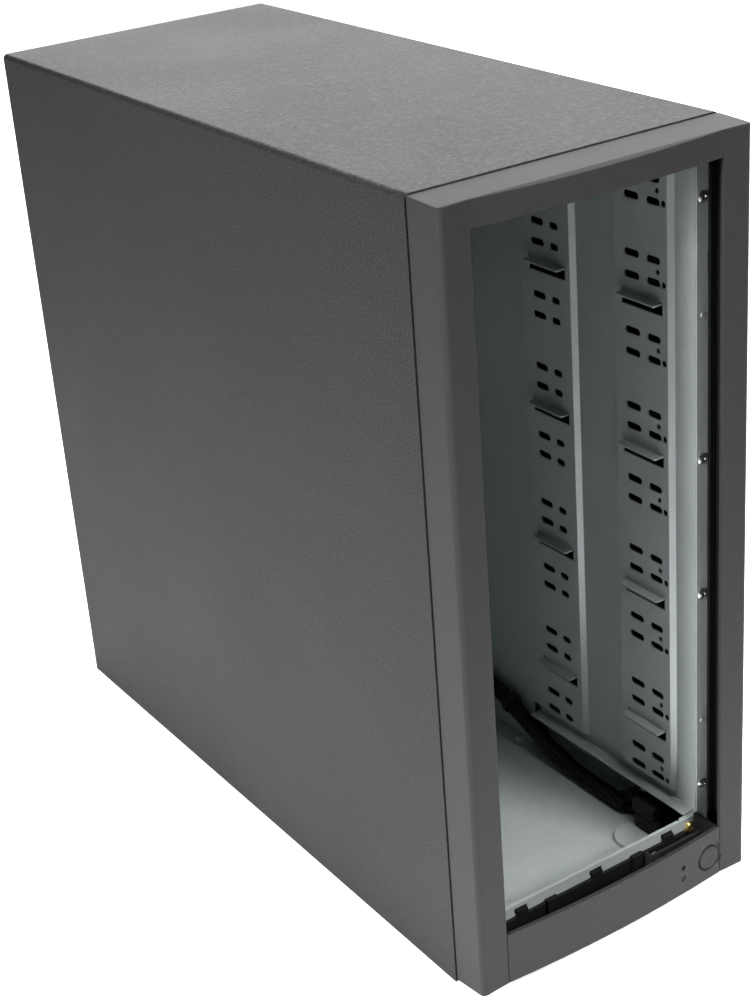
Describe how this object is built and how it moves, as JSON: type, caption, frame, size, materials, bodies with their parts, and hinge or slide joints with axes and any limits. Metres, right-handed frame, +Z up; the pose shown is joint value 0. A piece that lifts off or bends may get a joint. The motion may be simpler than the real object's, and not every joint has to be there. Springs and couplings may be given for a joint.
{
  "type": "disc duplicator enclosure",
  "caption": "Tower enclosure for a disc duplicator: a steel chassis with open 5.25 inch drive bays, a black moulded bezel with a power button, and a dark one-piece cover.",
  "frame": {"origin": "on the ground, in the middle of the case's box", "axes": "+X to the right seen from the front, +Y from the front to the back, +Z up"},
  "size_m": [0.1844, 0.456, 0.4322],
  "materials": {
    "cover_paint": "fine satin powder coat",
    "bezel_plastic": "fine spark texture",
    "bare_steel": "galvanised, unpainted",
    "supply_steel": "plated, satin",
    "button_plastic": "satin",
    "black_plastic": "satin",
    "fan_plastic": "satin",
    "zinc_screws": "bright zinc",
    "yellow_zinc": "yellow zinc plate on steel",
    "black_screws": "black oxide",
    "rivet_aluminium": "satin",
    "chrome_wire": "bright",
    "foot_rubber": "matte",
    "cable_black": "matte sleeve",
    "green_lens": "smoked, unlit",
    "smoke_lens": "smoked, unlit",
    "rocker_red": "satin"
  },
  "bodies": {
    "case": {"outer_cover": "cover_paint", "front_bezel": "bezel_plastic", "lower_front_panel": "bezel_plastic", "front_frame": "bare_steel", "base_pan": "bare_steel", "rear_panel": "bare_steel", "cage_side_right": "bare_steel", "cage_side_left": "bare_steel", "cage_top_tie": "bare_steel", "top_brace": "bare_steel", "power_switch": "black_plastic", "switch_carrier": "black_plastic", "carrier_screws": "zinc_screws", "power_led": "green_lens", "drive_led": "smoke_lens", "panel_leads": "cable_black", "frame_rivets": "rivet_aluminium", "frame_screws": "yellow_zinc", "cage_foot_screws": "zinc_screws", "chassis_rivets": "rivet_aluminium", "rubber_feet": "foot_rubber", "cover_thumbscrews": "black_screws", "psu_housing": "supply_steel", "psu_shelf": "bare_steel", "psu_screws": "zinc_screws", "psu_grommet": "foot_rubber", "psu_inlet": "black_plastic", "psu_rocker_frame": "black_plastic", "psu_fan_frame": "black_plastic", "psu_fan_guard": "chrome_wire", "psu_fan_screws": "zinc_screws", "rear_fan_frame": "black_plastic", "rear_fan_guard": "chrome_wire", "rear_fan_screws": "zinc_screws", "power_loom": "cable_black", "power_plugs": "black_plastic", "loom_ties": "black_plastic"},
    "button": {"power_button": "button_plastic"},
    "rocker": {"psu_rocker": "rocker_red"},
    "supply_rotor": {"psu_fan_rotor": "fan_plastic"},
    "case_rotor": {"rear_fan_rotor": "fan_plastic"}
  },
  "joints": [
    {"name": "power_button_press", "type": "slide", "parent": "case", "child": "button", "axis": [0, 1, 0], "range_m": [0, 0.0015], "stiffness_N_per_m": 600, "springref_m": -0.001},
    {"name": "psu_rocker_tilt", "type": "hinge", "parent": "case", "child": "rocker", "pos_m": [0.043, 0.21954, 0.392], "axis": [1, 0, 0], "range_deg": [-16, 0]},
    {"name": "psu_fan_spin", "type": "hinge", "parent": "case", "child": "supply_rotor", "pos_m": [-0.02, 0.20553, 0.375], "axis": [0, 1, 0], "continuous": true},
    {"name": "rear_fan_spin", "type": "hinge", "parent": "case", "child": "case_rotor", "pos_m": [0, 0.20653, 0.27], "axis": [0, 1, 0], "continuous": true}
  ]
}
